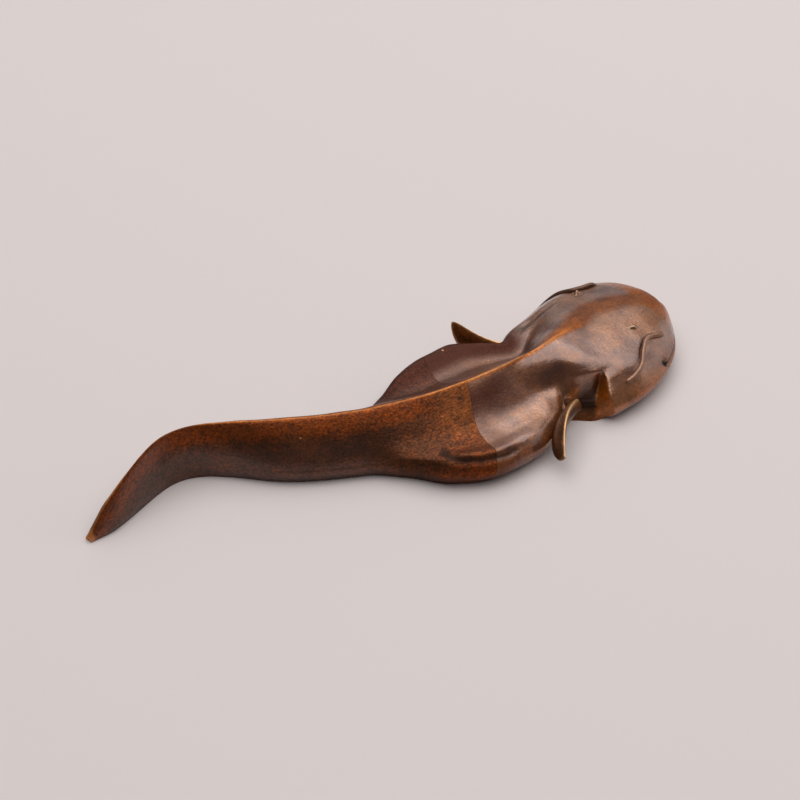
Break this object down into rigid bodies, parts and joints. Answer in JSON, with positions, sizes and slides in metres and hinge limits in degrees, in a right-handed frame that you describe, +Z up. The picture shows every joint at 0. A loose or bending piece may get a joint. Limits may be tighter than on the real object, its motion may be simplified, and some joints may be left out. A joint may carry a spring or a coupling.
{
  "type": "catfish figurine",
  "caption": "Small cast bronze catfish lying on its flat belly, with an S-curved body, a sharp back crest, a thin curled tail, set-in eyes, barbels and upright pectoral fins.",
  "frame": {"origin": "on the flat underside of the belly, on the spine 6 mm ahead of the joint between the two castings", "axes": "+X from the tail to the head along the length, +Y to the fish's left, +Z up from the underside to the crest"},
  "size_m": [0.1188, 0.0408, 0.0119],
  "materials": {
    "trunk_bronze": "cast bronze with a purple-brown patina, semi-gloss",
    "tail_bronze": "cast bronze with an orange-brown patina, semi-gloss",
    "fin_bronze": "cast bronze with a brown patina and rubbed edges",
    "wire_bronze": "drawn bronze wire with a brown patina",
    "eye_bronze": "bronze bead, rubbed bright on the dome"
  },
  "bodies": {
    "root": {"trunk_casting": "trunk_bronze", "tail_casting": "tail_bronze", "left_pectoral_fin": "fin_bronze", "right_pectoral_fin": "fin_bronze", "left_barbel": "wire_bronze", "right_barbel": "wire_bronze", "left_eye": "eye_bronze", "right_eye": "eye_bronze", "tail_joint_pin": "wire_bronze"}
  },
  "joints": []
}
